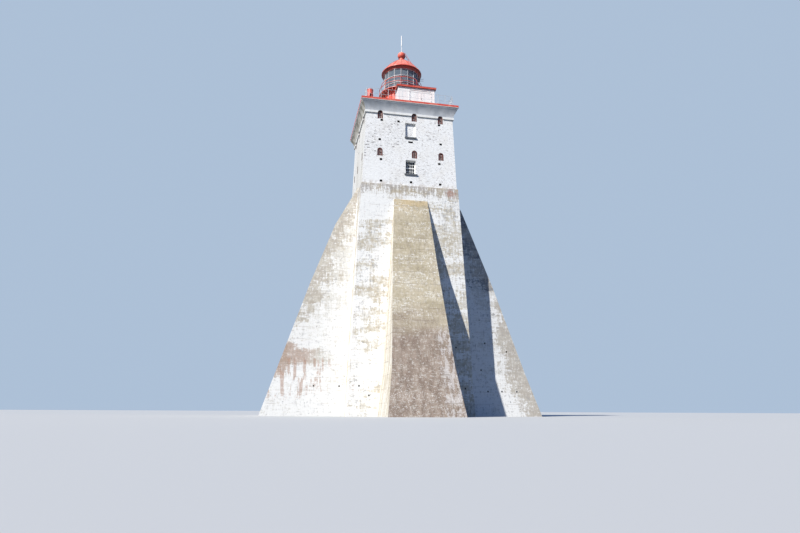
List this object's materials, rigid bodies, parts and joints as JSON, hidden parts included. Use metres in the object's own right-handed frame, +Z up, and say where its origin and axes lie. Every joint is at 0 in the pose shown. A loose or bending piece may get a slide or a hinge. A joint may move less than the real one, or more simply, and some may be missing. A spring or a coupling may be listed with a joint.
{
  "type": "square stone lighthouse with four buttresses",
  "caption": "Square battered masonry lighthouse tower with four tall raking buttresses, a flared cornice, a railed gallery, a stair-head cabin and a round glazed lantern with a low dome.",
  "frame": {"origin": "on the tower's vertical axis at the lowest ground level", "axes": "+Z up, the windowed front with the stair-head cabin faces -Y, the left side faces -X"},
  "size_m": [24, 20.6, 37.9255],
  "materials": {
    "limewash": "limewashed rubble masonry, joints showing grey",
    "jacket_concrete": "white painted concrete, worn and stained",
    "front_buttress_concrete": "bare concrete, beige to brown, streaked",
    "side_buttress_concrete": "concrete with worn white paint and brown stains",
    "cove_plaster": "smooth grey-white plaster",
    "deck_slab": "concrete slab",
    "red_paint": "orange-red gloss paint, slightly faded",
    "white_paint": "white paint on sheet metal",
    "white_timber": "white painted timber",
    "slate": "dark slate",
    "wrought_iron": "dark weathered iron",
    "window_glass": "clear glass",
    "lens_glass": "ribbed optical glass",
    "galvanised_steel": "dull galvanised steel",
    "grey_paint": "grey painted iron"
  },
  "bodies": {
    "root": {"wall_front": "limewash", "wall_left": "limewash", "wall_right": "limewash", "wall_rear": "limewash", "jacket_front": "jacket_concrete", "jacket_left": "jacket_concrete", "jacket_right": "jacket_concrete", "jacket_rear": "jacket_concrete", "buttress_front": "front_buttress_concrete", "buttress_rear": "front_buttress_concrete", "buttress_left": "side_buttress_concrete", "buttress_right": "side_buttress_concrete", "cornice_front": "cove_plaster", "cornice_left": "cove_plaster", "cornice_right": "cove_plaster", "cornice_rear": "cove_plaster", "gallery_deck": "deck_slab", "floors": "deck_slab", "deck_edging": "red_paint", "lantern_drum": "red_paint", "catwalk": "red_paint", "catwalk_brackets": "red_paint", "catwalk_rail": "red_paint", "lantern_eave": "red_paint", "lantern_dome": "red_paint", "vent_ball": "red_paint", "dome_ladder": "red_paint", "cabin_roof": "red_paint", "vent_pipe": "red_paint", "cabin_front_wall": "white_paint", "cabin_doors": "white_paint", "cabin_walls": "white_paint", "glazing_frames": "white_paint", "lightning_rod": "white_paint", "window_frames": "white_timber", "window_sills": "slate", "anchor_irons": "wrought_iron", "aerial": "wrought_iron", "window_glass": "window_glass", "lantern_glass": "window_glass", "lens": "lens_glass", "railing_front": "galvanised_steel", "railing_left": "galvanised_steel", "railing_right": "galvanised_steel", "railing_rear": "galvanised_steel", "hatch_rail": "galvanised_steel", "lantern_floor": "grey_paint", "lens_pedestal": "grey_paint"}
  },
  "joints": []
}
